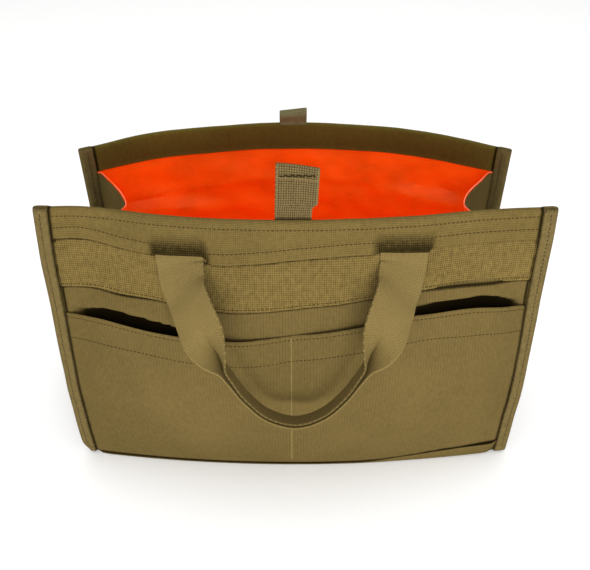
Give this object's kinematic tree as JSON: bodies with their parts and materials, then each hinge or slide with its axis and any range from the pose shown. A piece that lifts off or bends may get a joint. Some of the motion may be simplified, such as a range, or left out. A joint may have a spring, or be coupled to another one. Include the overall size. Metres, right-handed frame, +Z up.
{
  "type": "tool tote bag",
  "caption": "Open-topped canvas tool tote with orange lining, folded side gussets, outer patch pockets, webbing bands, carry handles, closure tab and hang loop.",
  "frame": {"origin": "centre of the base's underside, on the surface the bag stands on", "axes": "+X to the bag's right along its length, -Y out of the front wall, +Z up"},
  "size_m": [0.4246, 0.2974, 0.3162],
  "materials": {
    "canvas": "coated nylon canvas, coyote brown",
    "coarse_webbing": "plain-woven webbing",
    "strap_webbing": "twill-woven strap webbing",
    "binding_tape": "grosgrain binding tape",
    "orange_lining": "bright orange coated nylon lining",
    "inner_facing": "smooth dark brown facing",
    "hook_loop": "hook and loop tape",
    "stiffener": "stiffener sheet"
  },
  "bodies": {
    "base": {"base_shell": "canvas", "base_board": "stiffener", "base_lining": "orange_lining", "left_gusset_shell": "canvas", "left_gusset_lining": "orange_lining", "right_gusset_shell": "canvas", "right_gusset_lining": "orange_lining"},
    "front_wall": {"front_shell": "canvas", "front_lining": "orange_lining", "front_outer_facing": "canvas", "front_inner_facing": "inner_facing", "front_webbing_band": "coarse_webbing", "front_pocket": "canvas", "front_left_binding": "binding_tape", "front_right_binding": "binding_tape", "closure_tab_root": "coarse_webbing"},
    "back_wall": {"back_shell": "canvas", "back_lining": "orange_lining", "back_outer_facing": "canvas", "back_inner_facing": "inner_facing", "back_webbing_band": "coarse_webbing", "back_pocket": "canvas", "back_left_binding": "binding_tape", "back_right_binding": "binding_tape", "closure_loop_patch": "hook_loop"},
    "front_handle": {"front_handle": "strap_webbing"},
    "back_handle": {"back_handle": "strap_webbing"},
    "closure_tab": {"closure_tab": "coarse_webbing", "closure_hook_patch": "hook_loop"},
    "hang_loop": {"hang_loop": "strap_webbing"}
  },
  "joints": [
    {"name": "front_wall_fold", "type": "hinge", "parent": "base", "child": "front_wall", "pos_m": [0, -0.08, 0.003], "axis": [-1, 0, 0], "range_deg": [-5, 10.5], "deforming": ["left_gusset_shell", "left_gusset_lining", "right_gusset_shell", "right_gusset_lining"]},
    {"name": "back_wall_fold", "type": "hinge", "parent": "base", "child": "back_wall", "pos_m": [0, 0.08, 0.003], "axis": [1, 0, 0], "range_deg": [-5, 10.5], "deforming": ["left_gusset_shell", "left_gusset_lining", "right_gusset_shell", "right_gusset_lining"]},
    {"name": "front_handle_swing", "type": "hinge", "parent": "front_wall", "child": "front_handle", "pos_m": [0, -0.0902, 0.236], "axis": [-1, 0, 0], "range_deg": [0, 125]},
    {"name": "back_handle_swing", "type": "hinge", "parent": "back_wall", "child": "back_handle", "pos_m": [0, 0.1125, 0.236], "axis": [1, 0, 0], "range_deg": [0, 125]},
    {"name": "closure_tab_fold", "type": "hinge", "parent": "front_wall", "child": "closure_tab", "pos_m": [0, -0.0718, 0.2695], "axis": [-1, 0, 0], "range_deg": [-90, 110]},
    {"name": "hang_loop_flop", "type": "hinge", "parent": "back_wall", "child": "hang_loop", "pos_m": [0, 0.11, 0.2694], "axis": [1, 0, 0], "range_deg": [-50, 50]}
  ]
}
